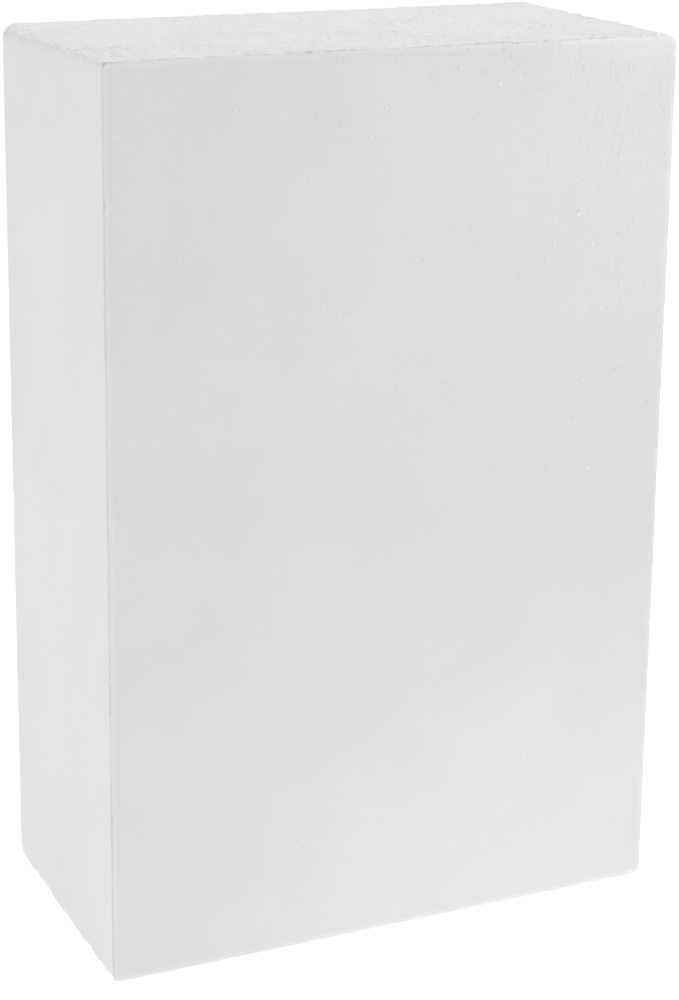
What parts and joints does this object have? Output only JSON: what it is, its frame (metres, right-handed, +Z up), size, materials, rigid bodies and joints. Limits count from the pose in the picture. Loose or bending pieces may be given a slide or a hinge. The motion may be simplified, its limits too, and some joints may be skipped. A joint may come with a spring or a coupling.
{
  "type": "floral foam brick",
  "caption": "Rectangular white craft foam block that holds flower stems and picks pushed into it, standing on end or lying flat.",
  "frame": {"origin": "centre of the bottom end face, on the surface the block stands on", "axes": "+Z up along the block's longest side, +X to the right along the broad front face, +Y from the front face to the back face"},
  "size_m": [0.2, 0.1, 0.302],
  "materials": {
    "foam": "matt white closed-cell foam with a very fine grain, coarser and bumpier on the end faces"
  },
  "bodies": {
    "root": {"foam_block": "foam"}
  },
  "joints": []
}
